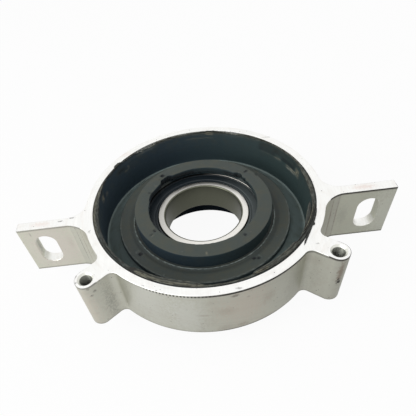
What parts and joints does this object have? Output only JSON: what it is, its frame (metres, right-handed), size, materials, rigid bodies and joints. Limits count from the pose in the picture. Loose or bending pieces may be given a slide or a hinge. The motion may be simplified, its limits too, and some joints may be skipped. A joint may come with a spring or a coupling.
{
  "type": "driveshaft centre bearing",
  "caption": "Sealed ball bearing in a black rubber cushion, bonded into a flat aluminium ring bracket with slotted ears and screw bosses; carries the joint of a two-piece driveshaft.",
  "frame": {"origin": "centre of the bearing on the shaft's axis", "axes": "+Z along the shaft's axis, out of the face with the open rubber lip; +X from ear to ear; the screw bosses are on the -Y side"},
  "size_m": [0.1884, 0.12, 0.0436],
  "materials": {
    "extruded_aluminium": "satin, sawn ends",
    "black_rubber": "matt, moulded",
    "sleeve_steel": "plain drawn steel",
    "bearing_steel": "ground",
    "seal_rubber": "smooth",
    "cage_steel": "pressed sheet",
    "ball_steel": "polished"
  },
  "bodies": {
    "mount": {"housing_bracket": "extruded_aluminium", "rubber_cushion": "black_rubber", "bearing_sleeve": "sleeve_steel", "outer_ring": "bearing_steel", "upper_seal": "seal_rubber", "lower_seal": "seal_rubber"},
    "shaft_ring": {"inner_ring": "bearing_steel"},
    "ball_cage": {"cage_upper": "cage_steel", "cage_lower": "cage_steel", "cage_rivets": "cage_steel", "ball_01": "ball_steel", "ball_02": "ball_steel", "ball_03": "ball_steel", "ball_04": "ball_steel", "ball_05": "ball_steel", "ball_06": "ball_steel", "ball_07": "ball_steel", "ball_08": "ball_steel", "ball_09": "ball_steel", "ball_10": "ball_steel", "ball_11": "ball_steel", "ball_12": "ball_steel"}
  },
  "joints": [
    {"name": "shaft_spin", "type": "hinge", "parent": "mount", "child": "shaft_ring", "pos_m": [0, 0, 0], "axis": [0, 0, 1], "continuous": true},
    {"name": "cage_orbit", "type": "hinge", "parent": "mount", "child": "ball_cage", "pos_m": [0, 0, 0], "axis": [0, 0, 1], "continuous": true}
  ],
  "couplings": [
    {"joint": "cage_orbit", "follows": "shaft_spin", "ratio": 0.4265}
  ]
}
